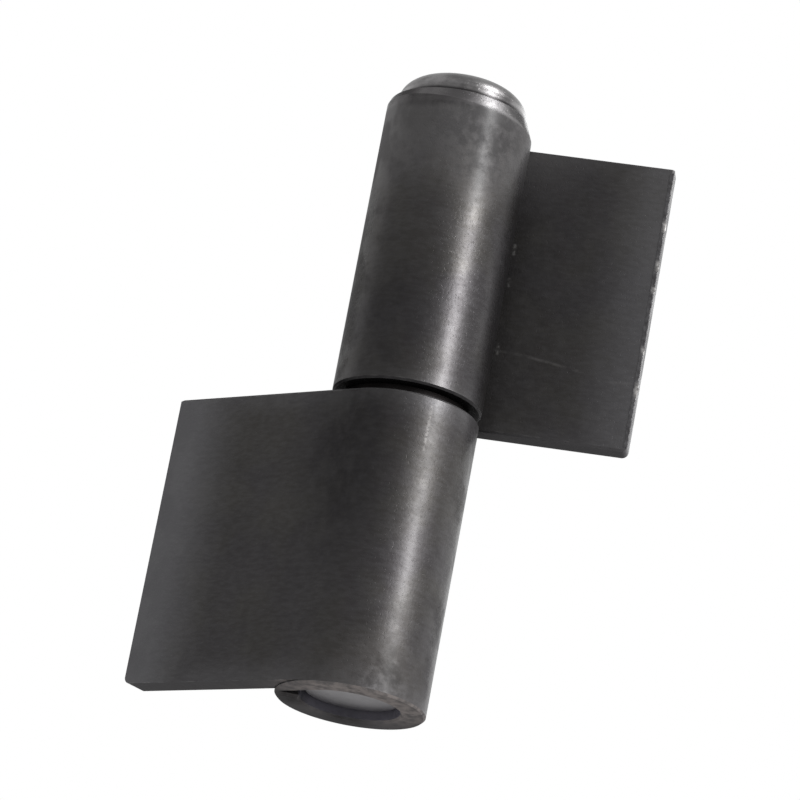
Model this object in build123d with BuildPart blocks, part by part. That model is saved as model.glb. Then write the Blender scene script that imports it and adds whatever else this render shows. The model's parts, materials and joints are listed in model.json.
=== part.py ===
from build123d import *
import math
import os

# Weld-on lift-off hinge, rolled from plate.
#
# Two plates each have one edge rolled into a closed eye, the knuckle. A pin is pressed into the lower
# knuckle and stands up into the upper one, whose top is turned down and closed by a domed plug. The upper
# half turns on a washer, and lifts straight up off the pin. The leaves have no screw holes: they are
# welded on.
#
# Millimetres. The hinge axis is Z, and the lower knuckle stands on z = 0. The lower leaf runs along -X
# with its weld face towards -Y. The upper leaf is shown swung back from the straight position.

os.makedirs("parts", exist_ok=True)

# Stock that the hinge is made from
plate_thickness = 3.0
pin_diameter = 12.0

# Leaves and knuckles
lower_leaf_height = 36.2
upper_leaf_height = 36.8
lower_leaf_reach = 27.4  # from the axis to the sheared outer edge
upper_leaf_reach = 26.3
corner_rounding = 0.8  # of each leaf's lower outer corner
knuckle_gap = 1.2
lower_knuckle_proud = 0.4  # how far the lower knuckle stands out of its leaf's bottom edge
upper_knuckle_proud = 1.0  # and the upper one out of its leaf's top edge
seam_gap = 0.2  # between the roll's free end and the leaf
edge_break = 0.25
leaf_swing = 30.5  # degrees that the upper leaf is turned from straight across

# Turned end of the upper knuckle: a short cone, whose axis stands off the hinge axis, away from the leaf
cone_end_diameter = 17.0
cone_angle = 21.5
cone_offset = 0.3
cone_run_out = 0.1  # how far outside the knuckle the tool cut into the leaf
cone_rim_rounding = 0.3

# Pin
pin_running_clearance = 0.05  # all round, in the upper knuckle
pin_recess = 1.2  # above the lower knuckle's bottom end
pin_to_plug = 1.0
pin_foot_chamfer = 0.5
pin_lead_in = 1.6
pin_lead_in_height = 2.4

# Washer that carries the upper half
washer_setback = 1.5  # inside the knuckles' outside
washer_pin_clearance = 0.3
washer_edge_break = 0.15

# Plug that closes the upper knuckle
plug_head_diameter = 15.8
plug_shank_length = 4.0
plug_shank_chamfer = 0.5
plug_wall_height = 0.5
plug_dome_height = 2.9
plug_flat_diameter = 8.2

# Sizes and levels that follow
pin_radius = pin_diameter / 2
lower_bore_radius = pin_radius
upper_bore_radius = pin_radius + pin_running_clearance
knuckle_radius = pin_radius + plate_thickness
upper_knuckle_radius = upper_bore_radius + plate_thickness
lower_leaf_bottom = lower_knuckle_proud
washer_level = lower_leaf_bottom + lower_leaf_height
upper_base = washer_level + knuckle_gap
upper_leaf_top = upper_base + upper_leaf_height
upper_top = upper_leaf_top + upper_knuckle_proud
pin_top = upper_top - plug_shank_length - pin_to_plug

# Each leaf's plane lies at the leaf's bottom edge, with the leaf along -X and its weld face towards -Y
lower_plane = Plane.XY.offset(lower_leaf_bottom)
upper_turn = math.radians(180 + leaf_swing)
upper_plane = Plane(
    origin=(0, 0, upper_base), x_dir=(math.cos(upper_turn), math.sin(upper_turn), 0), z_dir=(0, 0, 1)
)


def rolled_leaf(plane, bore_radius, reach, height, proud_below=0.0, proud_above=0.0):
    """A plate rolled into a closed eye, which may stand out of the leaf's two ends.

    The roll's free end lies against the leaf's inner face."""
    outer_radius = bore_radius + plate_thickness
    free_end = 180 + math.degrees(math.asin((bore_radius - seam_gap) / outer_radius))
    roll_angle = free_end + 90
    with BuildSketch() as profile:
        with BuildLine():
            weld_face = Line((-reach, -outer_radius), (0, -outer_radius))
            outside = CenterArc((0, 0), outer_radius, -90, roll_angle)
            bore = CenterArc((0, 0), bore_radius, -90, roll_angle)
            Line(outside @ 1, bore @ 1)
            Polyline(bore @ 0, (-reach, -bore_radius), weld_face @ 0)
        make_face()
    with BuildPart() as leaf:
        with BuildSketch(plane):
            add(profile.sketch)
        extrude(amount=height)
        across_plate = leaf.edges().filter_by(Axis((0, 0, 0), plane.y_dir))
        outer_corners = across_plate.group_by(Axis((0, 0, 0), -plane.x_dir))[-1].sort_by(Axis.Z)
        fillet(outer_corners[0], corner_rounding)
        for end, proud in ((0, -proud_below), (height, proud_above)):
            if proud != 0:
                with BuildSketch(plane.offset(end)):
                    add(profile.sketch)
                    Circle(outer_radius, mode=Mode.INTERSECT)
                extrude(amount=proud)
    return leaf.part


def end_rims(leaf, end):
    """The round edges of a leaf's end face, from the bore outwards."""
    return leaf.faces().sort_by(Axis.Z)[end].edges().filter_by(GeomType.CIRCLE).sort_by(SortBy.RADIUS)


# Lower leaf: its knuckle is rolled tight round the pin
with BuildPart() as lower_leaf:
    add(
        rolled_leaf(
            lower_plane,
            lower_bore_radius,
            lower_leaf_reach,
            lower_leaf_height,
            proud_below=lower_knuckle_proud,
        )
    )
    chamfer(lower_leaf.faces().sort_by(Axis.Z)[0].edges(), edge_break)
    chamfer(lower_leaf.faces().sort_by(Axis.Z)[-1].edges(), edge_break)
lower_leaf.part.label = "lower_leaf"
export_step(lower_leaf.part, "parts/lower_leaf.step")

# Upper leaf: its knuckle turns on the pin, and its proud end is turned down to a cone
cone_centre = upper_plane.x_dir * cone_offset
cone_end_radius = cone_end_diameter / 2
cone_foot_radius = upper_knuckle_radius + cone_offset + cone_run_out
cone_foot = upper_top - (cone_foot_radius - cone_end_radius) / math.tan(math.radians(cone_angle))
with BuildPart() as upper_leaf:
    add(
        rolled_leaf(
            upper_plane,
            upper_bore_radius,
            upper_leaf_reach,
            upper_leaf_height,
            proud_above=upper_knuckle_proud,
        )
    )
    chamfer(end_rims(upper_leaf, 0), edge_break)
    with BuildSketch(Plane(origin=cone_centre, x_dir=(1, 0, 0), z_dir=(0, -1, 0))):
        with BuildLine():
            cone = Line((cone_end_radius, upper_top), (cone_foot_radius, cone_foot))
            Polyline(cone @ 1, (cone_foot_radius, upper_top), cone @ 0)
        make_face()
    revolve(axis=Axis(cone_centre, (0, 0, 1)), mode=Mode.SUBTRACT)
    fillet(end_rims(upper_leaf, -1)[-1], cone_rim_rounding)
upper_leaf.part.label = "upper_leaf"
export_step(upper_leaf.part, "parts/upper_leaf.step")

# Pin: pressed into the lower knuckle, with a long lead-in on its free end
with BuildPart() as pin:
    with BuildSketch(Plane.XY.offset(pin_recess)):
        Circle(pin_radius)
    extrude(amount=pin_top - pin_recess)
    chamfer(pin.edges().sort_by(Axis.Z)[0], pin_foot_chamfer)
    chamfer(pin.edges().sort_by(Axis.Z)[-1], pin_lead_in_height, pin_lead_in)
pin.part.label = "pin"
export_step(pin.part, "parts/pin.step")

# Thrust washer: lies on the lower knuckle and carries the upper one
with BuildPart() as thrust_washer:
    with BuildSketch(Plane.XY.offset(washer_level)):
        Circle(knuckle_radius - washer_setback)
        Circle(pin_radius + washer_pin_clearance, mode=Mode.SUBTRACT)
    extrude(amount=knuckle_gap)
    chamfer(thrust_washer.edges(), washer_edge_break)
thrust_washer.part.label = "thrust_washer"
export_step(thrust_washer.part, "parts/thrust_washer.step")

# End plug: its shank is pressed into the upper knuckle, and its domed head lies on the knuckle's end
head_radius = plug_head_diameter / 2
flat_radius = plug_flat_diameter / 2
dome_base = upper_top + plug_wall_height
dome_top = dome_base + plug_dome_height
with BuildPart() as end_plug:
    with BuildSketch(Plane.XY.offset(upper_top - plug_shank_length)):
        Circle(upper_bore_radius)
    extrude(amount=plug_shank_length)
    chamfer(end_plug.edges().sort_by(Axis.Z)[0], plug_shank_chamfer)
    with BuildSketch(Plane.XZ):
        with BuildLine():
            shoulder = EllipticalCenterArc(
                (flat_radius, dome_base), head_radius - flat_radius, plug_dome_height, arc_size=90
            )
            Polyline(shoulder @ 1, (0, dome_top), (0, upper_top), (head_radius, upper_top), shoulder @ 0)
        make_face()
    revolve(axis=Axis.Z)
end_plug.part.label = "end_plug"
export_step(end_plug.part, "parts/end_plug.step")
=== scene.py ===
import json
import math
from collections import namedtuple

import bmesh
import bpy
from bpy.props import FloatProperty, FloatVectorProperty, PointerProperty
from mathutils import Matrix, Vector, noise


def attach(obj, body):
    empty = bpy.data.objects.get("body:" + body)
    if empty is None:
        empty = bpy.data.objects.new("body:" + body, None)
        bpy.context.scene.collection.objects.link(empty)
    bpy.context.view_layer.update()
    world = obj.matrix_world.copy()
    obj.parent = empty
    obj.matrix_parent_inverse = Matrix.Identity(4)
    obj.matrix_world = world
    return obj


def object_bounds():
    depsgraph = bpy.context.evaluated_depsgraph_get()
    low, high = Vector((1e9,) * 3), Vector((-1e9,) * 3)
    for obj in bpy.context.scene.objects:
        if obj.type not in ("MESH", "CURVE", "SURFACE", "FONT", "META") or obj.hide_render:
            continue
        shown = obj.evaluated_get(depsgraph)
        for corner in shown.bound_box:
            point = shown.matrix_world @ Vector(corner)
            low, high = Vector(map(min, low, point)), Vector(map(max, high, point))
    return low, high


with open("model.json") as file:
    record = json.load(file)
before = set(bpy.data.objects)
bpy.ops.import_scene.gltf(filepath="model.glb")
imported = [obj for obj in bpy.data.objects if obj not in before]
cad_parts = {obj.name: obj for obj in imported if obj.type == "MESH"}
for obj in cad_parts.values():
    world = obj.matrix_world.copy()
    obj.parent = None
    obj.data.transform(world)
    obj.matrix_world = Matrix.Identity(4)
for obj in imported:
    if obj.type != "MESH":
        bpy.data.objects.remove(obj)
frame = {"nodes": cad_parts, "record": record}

# Looks of a weld-on lift-off hinge that is rolled from plate. The solids come from the frame and keep their
# meshes: they get dark steel materials. The pieces made here are the ragged burr that the shears left along
# each leaf's outer edge, and the stage. Lengths are in metres.

bl_info = {
    "name": "Lift-off Hinge Finish",
    "version": (1, 0, 0),
    "blender": (4, 5, 0),
    "location": "View3D > Sidebar > Hinge",
    "description": "Dark steel finishes, sheared edges and a studio stage for a weld-on lift-off hinge",
    "category": "Object",
}

MM = 0.001
UP = Vector((0, 0, 1))

# What the frame says of the hinge
CAD_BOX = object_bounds()
WELD_NORMALS = {mount["name"]: Vector(mount["axis"]) for mount in frame["record"]["mounts"]}


def leaf_facts(node, weld_mount):
    """Where a leaf lies: the way it runs, out of its weld face, its reach from the axis and its two ends."""
    corners = [vertex.co for vertex in frame["nodes"][node].data.vertices]
    weld_normal = WELD_NORMALS[weld_mount]
    along = weld_normal.cross(UP)
    reach = max(corner.dot(along) for corner in corners)
    outer = [corner for corner in corners if corner.dot(along) > reach - 2 * MM]
    return {
        "along": along,
        "weld_normal": weld_normal,
        "reach": reach,
        "inner_face": min(corner.dot(weld_normal) for corner in outer),
        "bottom": min(corner.z for corner in outer),
        "top": max(corner.z for corner in outer),
    }


LOWER_LEAF = leaf_facts("lower_leaf", "lower_weld_face")
UPPER_LEAF = leaf_facts("upper_leaf", "upper_weld_face")


def direction(turn, rise):
    """Unit vector turned from +X round the hinge axis and raised above the level, both in radians."""
    return Vector((math.cos(turn) * math.cos(rise), math.sin(turn) * math.cos(rise), math.sin(rise)))


# Settings


def colour_setting(name, description, default):
    return FloatVectorProperty(
        name=name, description=description, default=default, size=3, subtype="COLOR", min=0, max=1
    )


def length_setting(name, description, default):
    return FloatProperty(name=name, description=description, default=default, min=0, unit="LENGTH")


def share_setting(name, description, default):
    return FloatProperty(name=name, description=description, default=default, min=0, max=1, subtype="FACTOR")


def power_setting(name, description, default):
    return FloatProperty(name=name, description=description, default=default, min=0, unit="POWER")


def angle_setting(name, description, degrees):
    return FloatProperty(name=name, description=description, default=math.radians(degrees), subtype="ANGLE")


class HingeFinish(bpy.types.PropertyGroup):
    """Colours and surface of the steel."""

    plate_colour: colour_setting("Plate Colour", "Dark scale on the rolled plate", (0.0195, 0.0178, 0.0185))
    warm_colour: colour_setting("Warm Colour", "Where the scale is faintly brown", (0.0215, 0.0198, 0.0183))
    rubbed_colour: colour_setting(
        "Rubbed Colour", "Scale rubbed thin by handling, towards the outer edges", (0.066, 0.065, 0.068)
    )
    sheared_colour: colour_setting(
        "Sheared Colour", "Dull steel on the leaves' cut ends", (0.058, 0.056, 0.058)
    )
    bore_colour: colour_setting("Bore Colour", "Smoother steel inside the roll", (0.13, 0.126, 0.148))
    # Painted shade in the gap, the creases and beside the knuckle; it also darkens a few other spots
    shade_and_dark_colour: colour_setting("Sooty Colour", "Thick scale that reflects least", (0.0055, 0.005, 0.0053))
    scuffed_colour: colour_setting(
        "Scuffed Colour", "Brownish steel where an end has been knocked", (0.22, 0.198, 0.19)
    )
    bright_colour: colour_setting("Bright Colour", "Bare steel on worn edges and marks", (0.4, 0.39, 0.38))
    pin_colour: colour_setting("Pin Colour", "Dull drawn bar", (0.13, 0.125, 0.13))
    washer_colour: colour_setting("Washer Colour", "Blackened washer in the gap", (0.009, 0.008, 0.008))
    plug_colour: colour_setting("Plug Colour", "Turned end plug", (0.1, 0.097, 0.098))
    edge_tint: share_setting("Edge Tint", "How bright the steel is at a grazing angle", 0.35)
    roughness: share_setting("Roughness", "Of the plate between its marks", 0.44)
    oil_film: share_setting("Oil Film", "How much thin oil lies on the steel", 0.2)
    wear: share_setting("Wear", "How bright the sharp edges are rubbed", 0.1)
    grain_spacing: length_setting("Grain Spacing", "Between the rolling lines", 0.45 * MM)
    grain_depth: length_setting("Grain Depth", "Of the rolling lines", 0.012 * MM)
    wear_radius: length_setting("Wear Radius", "Width of the worn line along a sharp edge", 0.22 * MM)


class HingeBurrs(bpy.types.PropertyGroup):
    """Sizes of the burr along a sheared edge."""

    stand: length_setting("Stand", "How far a torn lip stands out of the sheared edge", 0.38 * MM)
    width: length_setting("Width", "Of the burr, across the plate's thickness", 0.9 * MM)
    pitch: length_setting("Pitch", "Of the burr's teeth", 0.3 * MM)


class HingeStage(bpy.types.PropertyGroup):
    """Floor, lamps and camera."""

    floor_colour: colour_setting("Floor Colour", "Pale floor that the hinge stands on", (0.9, 0.9, 0.9))
    floor_size: length_setting("Floor Size", "Length of the floor's sides", 6.0)
    sky: FloatProperty(
        name="Sky", description="Strength of the even light from all sides", default=0.55, min=0
    )
    key_power: power_setting("Key Power", "Of the strip lamp. The high strip gets a share of it", 17.0)
    fill_power: power_setting("Fill Power", "Of the broad lamp", 4.5)
    side_power: power_setting("Side Power", "Of the left lamp. The right one gets a multiple of it", 2.6)
    camera_aim: FloatVectorProperty(
        name="Camera Aim",
        description="Point that the camera looks at",
        default=(-0.486 * MM, -0.791 * MM, 38.155 * MM),
        size=3,
        subtype="TRANSLATION",
    )
    camera_distance: length_setting("Camera Distance", "From the point that it looks at", 555.684 * MM)
    camera_turn: angle_setting("Camera Turn", "Round the hinge axis from +X", -50.629)
    camera_rise: angle_setting("Camera Rise", "Above the hinge's middle", -18.553)
    camera_roll: angle_setting("Camera Roll", "About the line of sight", 10.71)
    camera_lens: FloatProperty(
        name="Lens", description="Focal length", default=209.66, min=10, unit="CAMERA"
    )


# Small helpers for node trees


def feed(tree, socket, source):
    """Links a socket to another node's output, or sets its number."""
    if isinstance(source, bpy.types.NodeSocket):
        tree.links.new(source, socket)
    else:
        socket.default_value = source


def add_node(tree, kind, feeds=None, **settings):
    """A node with its settings and its fed inputs."""
    node = tree.nodes.new(kind)
    for name, value in settings.items():
        setattr(node, name, value)
    for name, source in (feeds or {}).items():
        feed(tree, node.inputs[name], source)
    return node


def calculate(tree, operation, *values, clamp=False):
    node = add_node(tree, "ShaderNodeMath", operation=operation, use_clamp=clamp)
    for socket, value in zip(node.inputs, values):
        feed(tree, socket, value)
    return node.outputs["Value"]


def calculate_vector(tree, operation, *values):
    node = add_node(tree, "ShaderNodeVectorMath", operation=operation)
    for socket, value in zip(node.inputs, values):
        feed(tree, socket, value)
    return node.outputs["Value" if operation in ("DOT_PRODUCT", "LENGTH", "DISTANCE") else "Vector"]


def join_vector(tree, **parts):
    """A vector from its parts. A part that isn't given is zero."""
    return add_node(tree, "ShaderNodeCombineXYZ", parts).outputs["Vector"]


def z_of(tree, vector):
    return add_node(tree, "ShaderNodeSeparateXYZ", {"Vector": vector}).outputs["Z"]


def radius_of(tree, position):
    """Distance from the hinge axis."""
    return calculate_vector(tree, "LENGTH", calculate_vector(tree, "MULTIPLY", position, (1, 1, 0)))


def ramp(tree, value, low, high, from_low=0.0, to_high=1.0):
    """A value eased from from_low, where it is low, to to_high, where it is high. Low may be above high."""
    feeds = {"Value": value, "From Min": low, "From Max": high, "To Min": from_low, "To Max": to_high}
    return add_node(tree, "ShaderNodeMapRange", feeds, interpolation_type="SMOOTHSTEP").outputs["Result"]


def mix_colour(tree, share, first, second):
    node = add_node(tree, "ShaderNodeMix", data_type="RGBA")
    for socket, source in zip((node.inputs[0], node.inputs[6], node.inputs[7]), (share, first, second)):
        feed(tree, socket, source)
    return node.outputs[2]


def cloud(tree, vector, scale, detail=3.0, roughness=0.55):
    """Soft noise from 0 to 1."""
    feeds = {"Vector": vector, "Scale": scale, "Detail": detail, "Roughness": roughness}
    return add_node(tree, "ShaderNodeTexNoise", feeds).outputs["Fac"]


def scale_for(tree, size):
    """The texture scale that makes marks of a size."""
    return calculate(tree, "DIVIDE", 1.0, size)


def solid(colour):
    return (*colour, 1.0)


# Node groups

POSITION_INPUT = ("Position", "Vector", (0, 0, 0))


def new_group(name, inputs, outputs):
    """An empty shader node group: its tree, its inputs and the sockets that its outputs go to."""
    tree = bpy.data.node_groups.new(name, "ShaderNodeTree")
    for label, kind, default in inputs:
        socket = tree.interface.new_socket(label, in_out="INPUT", socket_type="NodeSocket" + kind)
        socket.default_value = default
    for label in outputs:
        tree.interface.new_socket(label, in_out="OUTPUT", socket_type="NodeSocketFloat")
    return tree, tree.nodes.new("NodeGroupInput").outputs, tree.nodes.new("NodeGroupOutput").inputs


def rolling_grain_group():
    """Fine lines that run along the leaf and round the roll."""
    tree, inputs, outputs = new_group(
        "Rolling Grain",
        [POSITION_INPUT, ("Spacing", "Float", 0.5 * MM), ("Run", "Float", 1.3 * MM)],
        ["Grain"],
    )
    along = scale_for(tree, inputs["Run"])
    stretch = join_vector(tree, X=along, Y=along, Z=scale_for(tree, inputs["Spacing"]))
    lines = cloud(tree, calculate_vector(tree, "MULTIPLY", inputs["Position"], stretch), 1.0, detail=4.0)
    feed(tree, outputs["Grain"], lines)
    return tree


def cut_end_group():
    """Where the surface faces along the hinge axis, as the leaves' sheared ends and their broken edges do."""
    tree, inputs, outputs = new_group("Cut End", [("Normal", "Vector", (0, 0, 1))], ["End"])
    upright = calculate(tree, "ABSOLUTE", z_of(tree, inputs["Normal"]))
    feed(tree, outputs["End"], ramp(tree, upright, 0.45, 0.65))
    return tree


def mill_scale_group():
    """Clouded patches, and small specks where the scale has flaked."""
    tree, inputs, outputs = new_group(
        "Mill Scale",
        [POSITION_INPUT, ("Patch Size", "Float", 5 * MM), ("Speck Size", "Float", 0.3 * MM)],
        ["Patches", "Specks"],
    )
    patch_scale = scale_for(tree, inputs["Patch Size"])
    speck_scale = scale_for(tree, inputs["Speck Size"])
    patches = cloud(tree, inputs["Position"], patch_scale, detail=5.0, roughness=0.6)
    specks = cloud(tree, inputs["Position"], speck_scale, detail=2.0)
    feed(tree, outputs["Patches"], ramp(tree, patches, 0.35, 0.65))
    feed(tree, outputs["Specks"], ramp(tree, specks, 0.6, 0.72))
    return tree


def edge_wear_group():
    """A broken bright line along sharp edges."""
    tree, inputs, outputs = new_group(
        "Edge Wear",
        [POSITION_INPUT, ("Radius", "Float", 0.22 * MM), ("Gap Size", "Float", 1.2 * MM)],
        ["Wear"],
    )
    rounded = add_node(tree, "ShaderNodeBevel", {"Radius": inputs["Radius"]}, samples=6).outputs["Normal"]
    flat = add_node(tree, "ShaderNodeNewGeometry").outputs["Normal"]
    edge = ramp(tree, calculate_vector(tree, "DOT_PRODUCT", rounded, flat), 0.995, 0.93)
    gaps = ramp(tree, cloud(tree, inputs["Position"], scale_for(tree, inputs["Gap Size"])), 0.45, 0.68)
    feed(tree, outputs["Wear"], calculate(tree, "MULTIPLY", edge, gaps))
    return tree


def plate_margin_group():
    """How near a point is to a leaf's outer edge or to its two ends."""
    tree, inputs, outputs = new_group(
        "Plate Margin",
        [
            POSITION_INPUT,
            ("Along", "Vector", (1, 0, 0)),
            ("Reach", "Float", 25 * MM),
            ("Bottom", "Float", 0.0),
            ("Top", "Float", 36 * MM),
            ("Width", "Float", 6 * MM),
            ("End Share", "Float", 0.3),
        ],
        ["Margin"],
    )
    distance = calculate_vector(tree, "DOT_PRODUCT", inputs["Position"], inputs["Along"])
    from_edge = calculate(tree, "SUBTRACT", inputs["Reach"], distance)
    height = z_of(tree, inputs["Position"])
    from_bottom = calculate(tree, "SUBTRACT", height, inputs["Bottom"])
    from_top = calculate(tree, "SUBTRACT", inputs["Top"], height)
    from_end = calculate(tree, "MINIMUM", from_bottom, from_top)
    end_width = calculate(tree, "MULTIPLY", inputs["Width"], inputs["End Share"])
    outer = ramp(tree, from_edge, inputs["Width"], 0.0)
    ends = ramp(tree, from_end, end_width, 0.0, to_high=inputs["End Share"])
    feed(tree, outputs["Margin"], calculate(tree, "MAXIMUM", outer, ends))
    return tree


def scratch_group():
    """One thin, broken line between two points."""
    tree, inputs, outputs = new_group(
        "Scratch",
        [
            POSITION_INPUT,
            ("Start", "Vector", (0, 0, 0)),
            ("End", "Vector", (0, 0, 1)),
            ("Width", "Float", 0.3 * MM),
            ("Break Size", "Float", 1.4 * MM),
        ],
        ["Mark"],
    )
    run = calculate_vector(tree, "SUBTRACT", inputs["End"], inputs["Start"])
    offset = calculate_vector(tree, "SUBTRACT", inputs["Position"], inputs["Start"])
    length_squared = calculate_vector(tree, "DOT_PRODUCT", run, run)
    along = calculate_vector(tree, "DOT_PRODUCT", offset, run)
    share = calculate(tree, "DIVIDE", along, length_squared, clamp=True)
    nearest = add_node(tree, "ShaderNodeVectorMath", {0: run, "Scale": share}, operation="SCALE")
    distance = calculate_vector(tree, "DISTANCE", offset, nearest.outputs["Vector"])
    line = ramp(tree, distance, inputs["Width"], 0.0)
    spots = cloud(tree, inputs["Position"], scale_for(tree, inputs["Break Size"]), detail=4.0)
    feed(tree, outputs["Mark"], calculate(tree, "MULTIPLY", line, ramp(tree, spots, 0.36, 0.6)))
    return tree


def scuff_group():
    """A clouded patch round a point, flattened along the hinge axis."""
    tree, inputs, outputs = new_group(
        "Scuff",
        [
            POSITION_INPUT,
            ("Centre", "Vector", (0, 0, 0)),
            ("Flattening", "Float", 2.0),
            ("Inner Radius", "Float", 6 * MM),
            ("Outer Radius", "Float", 13 * MM),
            ("Mottle", "Float", 0.3),
            ("Mottle Scale", "Float", 900.0),
        ],
        ["Scuff"],
    )
    offset = calculate_vector(tree, "SUBTRACT", inputs["Position"], inputs["Centre"])
    flattened = join_vector(tree, X=1.0, Y=1.0, Z=inputs["Flattening"])
    distance = calculate_vector(tree, "LENGTH", calculate_vector(tree, "MULTIPLY", offset, flattened))
    patch = ramp(tree, distance, inputs["Outer Radius"], inputs["Inner Radius"])
    holes = ramp(tree, cloud(tree, inputs["Position"], inputs["Mottle Scale"], detail=4.0), 0.65, 0.3)
    kept = calculate(tree, "SUBTRACT", 1.0, calculate(tree, "MULTIPLY", holes, inputs["Mottle"]))
    feed(tree, outputs["Scuff"], calculate(tree, "MULTIPLY", patch, kept))
    return tree


def turned_rings_group():
    """Fine rings round the hinge axis, left by a lathe tool."""
    tree, inputs, outputs = new_group(
        "Turned Rings", [POSITION_INPUT, ("Pitch", "Float", 0.25 * MM)], ["Rings"]
    )
    profile = join_vector(tree, X=radius_of(tree, inputs["Position"]), Z=z_of(tree, inputs["Position"]))
    feed(tree, outputs["Rings"], cloud(tree, profile, scale_for(tree, inputs["Pitch"]), detail=2.0))
    return tree


GROUP_MAKERS = {
    "Rolling Grain": rolling_grain_group,
    "Cut End": cut_end_group,
    "Mill Scale": mill_scale_group,
    "Edge Wear": edge_wear_group,
    "Plate Margin": plate_margin_group,
    "Scratch": scratch_group,
    "Scuff": scuff_group,
    "Turned Rings": turned_rings_group,
}


def use_group(tree, name, feeds):
    """The outputs of the node group of that name, which is made the first time it is used."""
    group = bpy.data.node_groups.get(name) or GROUP_MAKERS[name]()
    return add_node(tree, "ShaderNodeGroup", feeds, node_tree=group).outputs


# Materials

NOISE_LOW = 0.3  # most of a noise's values lie between these two
NOISE_HIGH = 0.7

# The plate. Texture scales are for each metre, and heights are shares of the rolling lines' depth
WARMTH_SCALE = 90.0  # of the brown areas
CLOUDS_RUBBED = 0.12  # how far the scale's clouds are rubbed
LINES_RUBBED = 0.16  # and the rolling lines
TORN_PLAIN = 0.8  # how much sheared colour a cut end shows between its flaked specks
TORN_FLAKED = 0.3  # and in them
ROUGHNESS_SPREAD = 0.03  # up and down, with the clouds
LEAST_OIL = 0.3  # as a share of the oil film
CLOUD_HEIGHT = 0.6
DENT_SCALE = 2200.0
DENT_HEIGHT = 1.3
FLAKE_DEPTH = 0.8
BORE_RADIUS = 6.1 * MM  # steel that lies nearer to the axis is in the bore
BORE_FADE = 0.2 * MM

# Turned parts
RING_UNEVENNESS = 5 / MM  # change of roughness for a metre of ring depth
SEAM_SHADE = 0.85  # how much of the dark colour the painted shadow line at the seam takes
SEAM_SHADE_HEIGHT = 0.2 * MM  # up and down from the seam, before it fades
SEAM_SHADE_FADE = 0.45 * MM
SHANK_REACH = 7 * MM  # only the plug's head reaches further out from the axis

# The burr
CRUMB_SCALE = 2500.0
CRUMB_DEPTH = 0.02 * MM
BURR_CLOUD_SCALE = 1200.0

# A patch round a point, its lengths in millimetres: how much of its colour it has on the sides and on the cut
# ends, how much it adds to the roughness, and how far it is broken up
Patch = namedtuple(
    "Patch", "centre flattening inner outer colour side end dull mottle", defaults=(None, 0.0, 0.0, 0.0, 0.3)
)

# A scratch between two points
Scratch = namedtuple("Scratch", "start end lightness break_size")


def new_material(name):
    """A material with only a Principled BSDF: its tree, that shader, and the surface's place and normal."""
    material = bpy.data.materials.new(name)
    material.use_nodes = True
    tree = material.node_tree
    tree.nodes.clear()
    shader = tree.nodes.new("ShaderNodeBsdfPrincipled")
    output = tree.nodes.new("ShaderNodeOutputMaterial")
    tree.links.new(shader.outputs["BSDF"], output.inputs["Surface"])
    surface = tree.nodes.new("ShaderNodeTexCoord").outputs
    return material, tree, shader, surface["Object"], surface["Normal"]


def add_relief(tree, shader, height, depth):
    """Bumps on the surface, as deep as depth where the height changes by 1."""
    bump = add_node(tree, "ShaderNodeBump", {"Height": height, "Strength": 1.0, "Distance": depth})
    feed(tree, shader.inputs["Normal"], bump.outputs["Normal"])


def worn_edges(tree, position, finish):
    worn = use_group(tree, "Edge Wear", {"Position": position, "Radius": finish.wear_radius})["Wear"]
    return calculate(tree, "MULTIPLY", worn, finish.wear)


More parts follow.
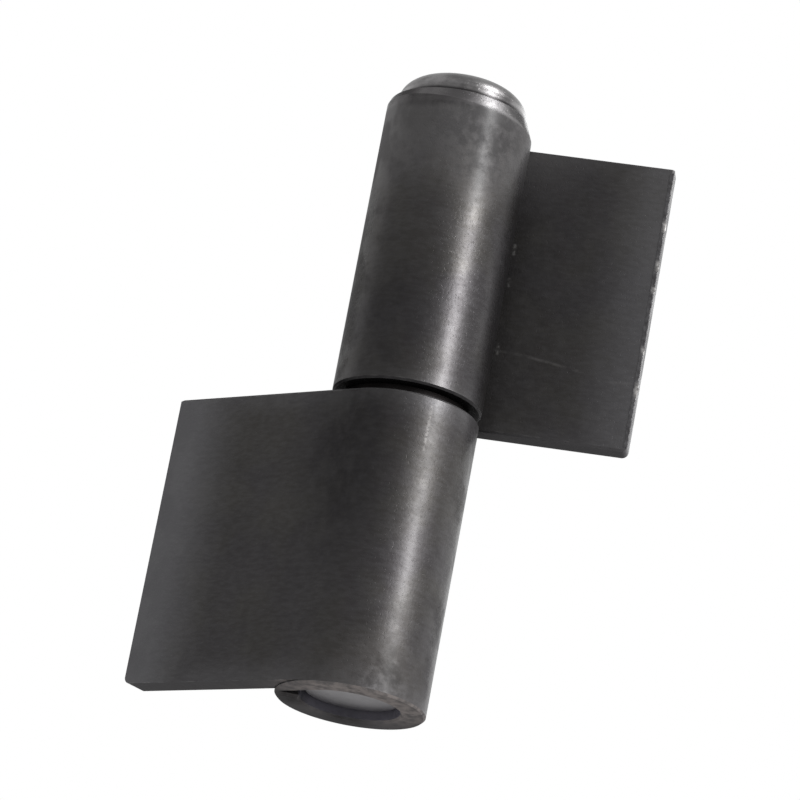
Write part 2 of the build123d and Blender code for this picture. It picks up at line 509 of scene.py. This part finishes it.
def black_plate(name, finish, leaf, polish, margin_width, rub, patches, scratches):
    """Rolled plate under dark scale.

    Polish is how much smoother it is than the finish says, and rub how far its margin is rubbed."""
    material, tree, shader, position, normal = new_material(name)
    grain_feeds = {"Position": position, "Spacing": finish.grain_spacing}
    grain = use_group(tree, "Rolling Grain", grain_feeds)["Grain"]
    scale = use_group(tree, "Mill Scale", {"Position": position})
    margin_feeds = {"Position": position, "Along": leaf["along"], "Width": margin_width}
    margin_feeds.update({"Reach": leaf["reach"], "Bottom": leaf["bottom"], "Top": leaf["top"]})
    margin = use_group(tree, "Plate Margin", margin_feeds)["Margin"]
    end = use_group(tree, "Cut End", {"Normal": normal})["End"]
    side = calculate(tree, "SUBTRACT", 1.0, end)
    bright = worn_edges(tree, position, finish)
    for scratch in scratches:
        feeds = {"Position": position, "Start": scratch.start, "End": scratch.end}
        feeds["Break Size"] = scratch.break_size
        mark = calculate(tree, "MULTIPLY", use_group(tree, "Scratch", feeds)["Mark"], scratch.lightness)
        bright = calculate(tree, "MAXIMUM", bright, mark)

    warmth = ramp(tree, cloud(tree, position, WARMTH_SCALE), 0.4, 0.6)
    steel = mix_colour(tree, warmth, solid(finish.plate_colour), solid(finish.warm_colour))
    clouded = calculate(tree, "MULTIPLY", scale["Patches"], CLOUDS_RUBBED)
    rubbed = calculate(tree, "MULTIPLY_ADD", margin, rub, clouded, clamp=True)
    lines = ramp(tree, grain, NOISE_LOW, NOISE_HIGH, 0.0, LINES_RUBBED)
    rubbed = calculate(tree, "ADD", rubbed, lines, clamp=True)
    steel = mix_colour(tree, rubbed, steel, solid(finish.rubbed_colour))
    torn = calculate(tree, "MULTIPLY", end, ramp(tree, scale["Specks"], 0.0, 1.0, TORN_PLAIN, TORN_FLAKED))
    steel = mix_colour(tree, torn, steel, solid(finish.sheared_colour))
    bore = ramp(tree, radius_of(tree, position), BORE_RADIUS + BORE_FADE, BORE_RADIUS)
    steel = mix_colour(tree, calculate(tree, "MULTIPLY", bore, side), steel, solid(finish.bore_colour))
    dulled = 0.0
    for patch in patches:
        feeds = {"Position": position, "Centre": Vector(patch.centre) * MM, "Flattening": patch.flattening}
        feeds.update({"Inner Radius": patch.inner * MM, "Outer Radius": patch.outer * MM})
        feeds["Mottle"] = patch.mottle
        scuff = use_group(tree, "Scuff", feeds)["Scuff"]
        if patch.colour is not None:
            share = calculate(tree, "MULTIPLY", scuff, ramp(tree, end, 0.0, 1.0, patch.side, patch.end))
            steel = mix_colour(tree, share, steel, solid(patch.colour))
        dulled = calculate(tree, "MULTIPLY_ADD", scuff, patch.dull, dulled)
    steel = mix_colour(tree, bright, steel, solid(finish.bright_colour))
    feed(tree, shader.inputs["Base Color"], steel)

    shader.inputs["Metallic"].default_value = 0.85
    shader.inputs["Specular Tint"].default_value = solid([finish.edge_tint] * 3)
    polished = finish.roughness - polish
    spread = (polished - ROUGHNESS_SPREAD, polished + ROUGHNESS_SPREAD)
    rough = ramp(tree, scale["Patches"], 0.0, 1.0, *spread)
    feed(tree, shader.inputs["Roughness"], calculate(tree, "ADD", rough, dulled))
    film = ramp(tree, scale["Patches"], 1.0, 0.0, LEAST_OIL * finish.oil_film, finish.oil_film)
    feed(tree, shader.inputs["Coat Weight"], calculate(tree, "MULTIPLY", film, side))
    shader.inputs["Coat Roughness"].default_value = 0.3

    height = calculate(tree, "ADD", grain, calculate(tree, "MULTIPLY", scale["Patches"], CLOUD_HEIGHT))
    dents = cloud(tree, position, DENT_SCALE, detail=2.0)
    height = calculate(tree, "MULTIPLY_ADD", dents, DENT_HEIGHT, height)
    flakes = calculate(tree, "MULTIPLY", scale["Specks"], FLAKE_DEPTH)
    height = calculate(tree, "SUBTRACT", height, flakes)
    add_relief(tree, shader, calculate(tree, "SUBTRACT", height, bright), finish.grain_depth)
    return material


def lower_leaf_steel(finish):
    """Its knuckle's bottom end is knocked on one side, painted shade lies in the crevice where the roll
    closes, and a short line of painted glints runs down its highlight streak from its top.
    """
    shade_and_dark = finish.shade_and_dark_colour
    patches = [
        # The knock
        Patch((6, -4, 0), 2.0, 4, 16, finish.scuffed_colour, side=0.06, end=1.0, dull=0.4, mottle=0.75),
        # Darker at the far side of the ring, and painted shade in the crevice where the roll closes
        Patch((-3.6, 4.4, 0), 1.0, 0.5, 4.5, shade_and_dark, side=0.3, end=0.7, mottle=0.5),
        Patch((-5.5, -3.4, 0), 1.0, 1, 4, shade_and_dark, side=0.6, end=0.8, mottle=0.4),
        # Darker down the front of the knuckle, under the gap
        Patch((0, -9, 30), 0.4, 1, 10, shade_and_dark, side=0.7, end=0.2),
    ]
    # Painted highlight: a short line of bright glints on the knuckle's highlight streak
    glints_top = direction(math.radians(-31.5), 0) * 9 * MM + UP * 35.3 * MM
    streak_glints = Scratch(glints_top, glints_top - UP * 5.5 * MM, lightness=0.07, break_size=0.35 * MM)
    return black_plate("lower_leaf_steel", finish, LOWER_LEAF, -0.015, 12 * MM, 1.0, patches, [streak_glints])


def upper_leaf_steel(finish):
    """Smoother than the lower leaf's, with scratches, rubbed at the knuckle's turned end, and with painted
    shade in the gap, on the knuckle's front and beside the knuckle.
    """

    def on_inner_face(distance, height):
        place = UPPER_LEAF["along"] * (distance * MM) + UPPER_LEAF["weld_normal"] * UPPER_LEAF["inner_face"]
        return place + UP * (height * MM)

    scratches = [
        Scratch(on_inner_face(8.4, 48.3), on_inner_face(12.2, 48.1), 0.03, 1.4 * MM),
        Scratch(on_inner_face(12.2, 48.1), on_inner_face(19.6, 47.0), 0.05, 1.4 * MM),
        Scratch(on_inner_face(21.5, 46.2), on_inner_face(25.9, 46.4), 0.03, 1.4 * MM),
        Scratch(on_inner_face(8.6, 60.9), on_inner_face(8.6, 62.1), 0.16, 0.5 * MM),
        Scratch(on_inner_face(8.7, 56.8), on_inner_face(8.6, 57.6), 0.12, 0.5 * MM),
        Scratch(on_inner_face(8.8, 47.9), on_inner_face(8.8, 49.2), 0.1, 0.5 * MM),
    ]
    shade_and_dark = finish.shade_and_dark_colour
    beside_knuckle = UPPER_LEAF["along"] * 9 + UP * 57 + UPPER_LEAF["weld_normal"] * 8
    patches = [
        # Rubbed under the plug
        Patch((-4, -5, 78), 1.5, 9.5, 28, finish.plug_colour, side=0.8, end=0.5, dull=0.45, mottle=0.4),
        # The turned cone is smooth, and dark in front
        Patch((0, 0, 75.5), 4.0, 9.8, 12.5, dull=-0.66),
        Patch((2.5, -8.6, 75), 3.5, 4, 9, finish.plate_colour, side=0.8, end=0.3),
        # Painted shade on the knuckle's lower end, in the gap
        Patch((0, 0, 37.8), 8.0, 9, 14, shade_and_dark, end=0.6),
        # The knuckle's right side: rubbed above, sleek in the middle
        Patch((7.8, -4.6, 70), 0.9, 4, 9, finish.rubbed_colour, side=0.15, dull=0.3, mottle=0.5),
        Patch((8, -4.2, 52), 0.45, 1.5, 5, dull=-0.07),
        # Painted shade on the knuckle's front above the gap, and on the leaf beside the knuckle, which the
        # knuckle hides from the light
        Patch((2.2, -8.8, 45), 0.5, 1, 9.5, shade_and_dark, side=0.5, end=0.2),
        Patch(beside_knuckle, 0.4, 5, 18, shade_and_dark, side=0.5, end=0.2),
    ]
    return black_plate("upper_leaf_steel", finish, UPPER_LEAF, 0.02, 9 * MM, 0.5, patches, scratches)


def turned_steel(name, colour, finish, roughness, ring_depth, clouding, edge_tint=1.0, wear=True, seam=None):
    """Turned bar: rings round the axis, with clouded colour. A shadow line is painted dark at the height of
    its seam.
    """
    material, tree, shader, position, _ = new_material(name)
    rings = use_group(tree, "Turned Rings", {"Position": position})["Rings"]
    scale = use_group(tree, "Mill Scale", {"Position": position, "Patch Size": 2.5 * MM})
    dark = tuple((1 - clouding) * channel for channel in colour)
    steel = mix_colour(tree, scale["Patches"], solid(dark), solid(colour))
    if seam is not None:
        # Painted shadow: a dark line in the crease where the plug meets the knuckle
        from_seam = calculate(tree, "ABSOLUTE", calculate(tree, "SUBTRACT", z_of(tree, position), seam))
        seam_shade = ramp(tree, from_seam, SEAM_SHADE_HEIGHT + SEAM_SHADE_FADE, SEAM_SHADE_HEIGHT)
        seam_shade = calculate(tree, "MULTIPLY", seam_shade, SEAM_SHADE)
        steel = mix_colour(tree, seam_shade, steel, solid(finish.shade_and_dark_colour))
    if wear:
        steel = mix_colour(tree, worn_edges(tree, position, finish), steel, solid(finish.bright_colour))
    feed(tree, shader.inputs["Base Color"], steel)
    shader.inputs["Metallic"].default_value = 0.95
    shader.inputs["Specular Tint"].default_value = solid([edge_tint] * 3)
    spread = (roughness - RING_UNEVENNESS * ring_depth, roughness + RING_UNEVENNESS * ring_depth)
    feed(tree, shader.inputs["Roughness"], ramp(tree, rings, NOISE_LOW, NOISE_HIGH, *spread))
    add_relief(tree, shader, calculate(tree, "SUBTRACT", rings, scale["Specks"]), ring_depth)
    return material


def pin_steel(finish):
    return turned_steel("drawn_pin_steel", finish.pin_colour, finish, 0.4, 0.002 * MM, 0.16)


def washer_steel(finish):
    colour = finish.washer_colour
    return turned_steel(
        "blackened_washer_steel", colour, finish, 0.6, 0.01 * MM, 0.3, edge_tint=0.25, wear=False
    )


def plug_steel(finish):
    corners = [vertex.co for vertex in frame["nodes"]["end_plug"].data.vertices]
    seam = min(corner.z for corner in corners if corner.xy.length > SHANK_REACH)
    return turned_steel("turned_plug_steel", finish.plug_colour, finish, 0.36, 0.012 * MM, 0.45, seam=seam)


def burr_steel(finish):
    """Torn steel: bright where the lip stands, as bare steel and as a painted highlight for the sheared
    face's glare; dark where it is rolled over.
    """
    material, tree, shader, position, _ = new_material("torn_burr_steel")
    torn = add_node(tree, "ShaderNodeAttribute", attribute_name="torn").outputs["Fac"]
    crumbs = cloud(tree, position, CRUMB_SCALE)
    share = calculate(tree, "MULTIPLY", torn, ramp(tree, crumbs, NOISE_LOW, 0.6, 0.5, 1.0))
    patches = ramp(tree, cloud(tree, position, BURR_CLOUD_SCALE), NOISE_LOW, NOISE_HIGH, 0.3, 0.9)
    steel = mix_colour(tree, patches, solid(finish.plate_colour), solid(finish.rubbed_colour))
    # Painted highlight in part: the torn lips get the bright colour for bare steel and for the glare off the
    # sheared face
    steel = mix_colour(tree, share, steel, solid(finish.bright_colour))
    feed(tree, shader.inputs["Base Color"], steel)
    shader.inputs["Metallic"].default_value = 0.9
    feed(tree, shader.inputs["Roughness"], ramp(tree, crumbs, NOISE_LOW, NOISE_HIGH, 0.35, 0.6))
    add_relief(tree, shader, crumbs, CRUMB_DEPTH)
    return material


# Pieces

BURR_SUNK = 0.3 * MM  # how deep the burr's bar lies in the plate
BURR_END_GAP = 0.5 * MM  # what it leaves free at each end of the edge
BURR_OVERHANG = 0.05 * MM  # how far it stands past the corner, across the plate
BURR_ROOT = 0.12 * MM  # how far its lowest teeth stay below the sheared edge
BETWEEN_LIPS = 0.3  # how far it stands between the torn lips, as a share of a lip
FROM_CORNER = 0.4  # how far its side away from the corner stands, as a share of the corner's

# Height and length of each torn lip, in millimetres. Their bright colour is partly a painted highlight for
# the sheared face's glare
UPPER_LIPS = [(67.0, 3.0), (61.8, 2.6), (58.7, 1.6), (50.7, 1.6), (45.7, 3.6)]
LOWER_LIPS = [(7.5, 1.5), (16.0, 2.6), (24.5, 1.0), (30.0, 1.8)]


def dress(node, material):
    """Puts a material on a solid from the frame."""
    if node not in frame["nodes"]:
        raise RuntimeError(f"the frame has no node named {node}")
    for slot in frame["nodes"][node].material_slots:
        slot.material = material


def new_object(name, shape, material):
    """An object in the scene, from a bmesh."""
    mesh = bpy.data.meshes.new(name)
    shape.to_mesh(mesh)
    shape.free()
    mesh.materials.append(material)
    made = bpy.data.objects.new(name, mesh)
    bpy.context.scene.collection.objects.link(made)
    return made


def new_piece(name, shape, material, body):
    """Adds a finished piece from a bmesh, which rides on a body."""
    bmesh.ops.recalc_face_normals(shape, faces=shape.faces)
    piece = new_object(name, shape, material)
    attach(piece, body)


def sheared_burr(name, leaf, lips, burrs, material, body):
    """Adds the burr along the inner corner of a leaf's outer edge.

    A thin bar is laid along the corner and cut across at the burr's pitch. Its outer side is drawn out of the
    plate or sunk into it, so that only the ragged parts stand."""
    length = leaf["top"] - leaf["bottom"] - 2 * BURR_END_GAP
    middle = (leaf["top"] + leaf["bottom"]) / 2
    across = leaf["weld_normal"]
    centre = leaf["along"] * (leaf["reach"] - BURR_SUNK)
    centre += across * (leaf["inner_face"] + (burrs.width / 2 - BURR_OVERHANG)) + UP * middle

    shape = bmesh.new()
    bmesh.ops.create_cube(shape, size=1)
    bmesh.ops.scale(shape, vec=(BURR_SUNK, burrs.width, length), verts=shape.verts)
    tall = [edge for edge in shape.edges if abs(edge.verts[0].co.z - edge.verts[1].co.z) > length / 2]
    bmesh.ops.subdivide_edges(shape, edges=tall, cuts=int(length / burrs.pitch), use_grid_fill=True)
    wide = [edge for edge in shape.edges if abs(edge.verts[0].co.y - edge.verts[1].co.y) > burrs.width / 2]
    bmesh.ops.subdivide_edges(shape, edges=wide, cuts=2, use_grid_fill=True)
    torn = shape.verts.layers.float.new("torn")
    for vertex in shape.verts:
        height = middle + vertex.co.z
        tooth = 0.5 + 0.5 * noise.noise(Vector((vertex.co.y, 0, height)) / burrs.pitch)
        if vertex.co.x < 0:
            vertex.co.x = -BURR_SUNK * (0.2 + 0.7 * tooth)
            continue
        stands = BETWEEN_LIPS
        for lip_height, lip_length in lips:
            stands = max(stands, 1 - abs(height - lip_height * MM) / (lip_length * MM / 2))
        vertex[torn] = (stands - BETWEEN_LIPS) / (1 - BETWEEN_LIPS)
        near_corner = FROM_CORNER + (1 - FROM_CORNER) * (0.5 - vertex.co.y / burrs.width)
        vertex.co.x = BURR_SUNK - BURR_ROOT + (burrs.stand + BURR_ROOT) * stands * tooth * near_corner
    frame_of_edge = Matrix((leaf["along"], across, UP)).transposed().to_4x4()
    bmesh.ops.transform(shape, matrix=Matrix.Translation(centre) @ frame_of_edge, verts=shape.verts)
    new_piece(name, shape, material, body)


# Stage

# Each lamp faces the camera's aim. Its power is a share of a setting, and its turn and rise are in degrees
Lamp = namedtuple("Lamp", "name setting share width height turn rise distance")
LAMPS = [
    Lamp("key_strip", "key_power", 1.0, 0.14, 0.6, -3.6, 19, 1.0),
    Lamp("high_strip", "key_power", 0.65, 0.12, 0.3, 15, 56, 1.0),
    Lamp("broad_fill", "fill_power", 1.0, 1.2, 1.2, -130, 55, 1.6),
    Lamp("right_fill", "side_power", 3.8, 1.4, 1.0, 78, 10, 1.0),
    Lamp("left_fill", "side_power", 1.0, 0.8, 1.0, -170, 10, 1.0),
]
FLOOR_GAP = 0.1 * MM  # under the hinge


def add_floor(stage):
    """Pale floor. It shows only from above, because the camera of the photo stands lower than the hinge."""
    material = bpy.data.materials.new("pale_floor")
    material.use_nodes = True
    tree = material.node_tree
    tree.nodes.clear()
    path = tree.nodes.new("ShaderNodeLightPath").outputs
    back = tree.nodes.new("ShaderNodeNewGeometry").outputs["Backfacing"]
    seen = calculate(tree, "MULTIPLY", path["Is Camera Ray"], calculate(tree, "SUBTRACT", 1.0, back))
    paint = add_node(tree, "ShaderNodeBsdfDiffuse", {"Color": solid(stage.floor_colour)}).outputs["BSDF"]
    clear = tree.nodes.new("ShaderNodeBsdfTransparent").outputs["BSDF"]
    shader = add_node(tree, "ShaderNodeMixShader", {0: seen, 1: clear, 2: paint})
    output = tree.nodes.new("ShaderNodeOutputMaterial")
    tree.links.new(shader.outputs["Shader"], output.inputs["Surface"])

    shape = bmesh.new()
    bmesh.ops.create_grid(shape, x_segments=1, y_segments=1, size=stage.floor_size / 2)
    bmesh.ops.translate(shape, vec=UP * (CAD_BOX[0].z - FLOOR_GAP), verts=shape.verts)
    floor = new_object("studio_floor", shape, material)


def add_sky(stage):
    """White to the camera and in reflections, and an even light on the object."""
    world = bpy.data.worlds.new("studio_sky")
    bpy.context.scene.world = world
    world.use_nodes = True
    tree = world.node_tree
    tree.nodes.clear()
    path = tree.nodes.new("ShaderNodeLightPath").outputs
    shown = calculate(tree, "MAXIMUM", path["Is Camera Ray"], path["Is Glossy Ray"])
    shown = calculate(tree, "MAXIMUM", shown, path["Is Transmission Ray"])
    strength = add_node(tree, "ShaderNodeMapRange", {"Value": shown, "To Min": stage.sky, "To Max": 1.0})
    feeds = {"Color": (1, 1, 1, 1), "Strength": strength.outputs["Result"]}
    light = add_node(tree, "ShaderNodeBackground", feeds)
    output = tree.nodes.new("ShaderNodeOutputWorld")
    tree.links.new(light.outputs["Background"], output.inputs["Surface"])


def add_lamp(stage, facts, aim):
    """A rectangular lamp that faces the aim."""
    lamp = bpy.data.lights.new(facts.name, "AREA")
    lamp.shape = "RECTANGLE"
    lamp.size = facts.width
    lamp.size_y = facts.height
    lamp.energy = facts.share * getattr(stage, facts.setting)
    holder = bpy.data.objects.new(facts.name, lamp)
    way = direction(math.radians(facts.turn), math.radians(facts.rise))
    holder.location = aim + way * facts.distance
    holder.rotation_mode = "QUATERNION"
    holder.rotation_quaternion = way.to_track_quat("Z", "Y")
    bpy.context.scene.collection.objects.link(holder)


def add_camera(stage, aim):
    """Camera at the photo's viewing angle."""
    lens = bpy.data.cameras.new("photo_camera")
    lens.lens = stage.camera_lens
    lens.sensor_width = 36
    lens.clip_start = 0.01
    camera = bpy.data.objects.new("photo_camera", lens)
    way = direction(stage.camera_turn, stage.camera_rise)
    turned = way.to_track_quat("Z", "Y").to_matrix() @ Matrix.Rotation(stage.camera_roll, 3, "Z")
    camera.matrix_world = Matrix.Translation(aim + way * stage.camera_distance) @ turned.to_4x4()
    bpy.context.scene.collection.objects.link(camera)
    bpy.context.scene.camera = camera


# Operators


class HINGE_OT_finish_leaves(bpy.types.Operator):
    """Put dark rolled steel on both leaves"""

    bl_idname = "hinge.finish_leaves"
    bl_label = "Finish Leaves"

    def execute(self, context):
        finish = context.scene.hinge_finish
        dress("lower_leaf", lower_leaf_steel(finish))
        dress("upper_leaf", upper_leaf_steel(finish))
        return {"FINISHED"}


class HINGE_OT_finish_turned_parts(bpy.types.Operator):
    """Put turned steel on the pin, the washer and the end plug"""

    bl_idname = "hinge.finish_turned_parts"
    bl_label = "Finish Turned Parts"

    def execute(self, context):
        finish = context.scene.hinge_finish
        dress("pin", pin_steel(finish))
        dress("thrust_washer", washer_steel(finish))
        dress("end_plug", plug_steel(finish))
        return {"FINISHED"}


class HINGE_OT_add_burrs(bpy.types.Operator):
    """Add the burr that the shears left along each leaf's outer edge"""

    bl_idname = "hinge.add_burrs"
    bl_label = "Add Burrs"

    def execute(self, context):
        burrs = context.scene.hinge_burrs
        material = burr_steel(context.scene.hinge_finish)
        sheared_burr("upper_leaf_burr", UPPER_LEAF, UPPER_LIPS, burrs, material, "upper_half")
        sheared_burr("lower_leaf_burr", LOWER_LEAF, LOWER_LIPS, burrs, material, "lower_half")
        return {"FINISHED"}


class HINGE_OT_build_stage(bpy.types.Operator):
    """Build the floor, the lamps, the sky and the camera"""

    bl_idname = "hinge.build_stage"
    bl_label = "Build Stage"

    def execute(self, context):
        stage = context.scene.hinge_stage
        aim = Vector(stage.camera_aim)
        add_floor(stage)
        add_sky(stage)
        for facts in LAMPS:
            add_lamp(stage, facts, aim)
        add_camera(stage, aim)
        context.scene.view_settings.view_transform = "Standard"
        return {"FINISHED"}


class HINGE_PT_sidebar(bpy.types.Panel):
    """Sizes and colours of the hinge's finish"""

    bl_label = "Lift-off Hinge"
    bl_idname = "HINGE_PT_sidebar"
    bl_space_type = "VIEW_3D"
    bl_region_type = "UI"
    bl_category = "Hinge"

    def draw(self, context):
        for settings, operators in SIDEBAR:
            box = self.layout.box()
            values = getattr(context.scene, settings)
            for name in values.bl_rna.properties.keys():
                if name not in ("name", "rna_type"):
                    box.prop(values, name)
            for operator in operators:
                box.operator(operator.bl_idname)


SIDEBAR = [
    ("hinge_finish", [HINGE_OT_finish_leaves, HINGE_OT_finish_turned_parts]),
    ("hinge_burrs", [HINGE_OT_add_burrs]),
    ("hinge_stage", [HINGE_OT_build_stage]),
]
SETTINGS = {"hinge_finish": HingeFinish, "hinge_burrs": HingeBurrs, "hinge_stage": HingeStage}
OPERATORS = [operator for _, operators in SIDEBAR for operator in operators]
CLASSES = [*SETTINGS.values(), *OPERATORS, HINGE_PT_sidebar]


def register():
    for each_class in CLASSES:
        bpy.utils.register_class(each_class)
    for name, settings in SETTINGS.items():
        setattr(bpy.types.Scene, name, PointerProperty(type=settings))


def unregister():
    for name in SETTINGS:
        delattr(bpy.types.Scene, name)
    for each_class in reversed(CLASSES):
        bpy.utils.unregister_class(each_class)


def main():
    register()
    bpy.ops.hinge.finish_leaves()
    bpy.ops.hinge.finish_turned_parts()
    bpy.ops.hinge.add_burrs()
    bpy.ops.hinge.build_stage()


if __name__ == "__main__":
    main()
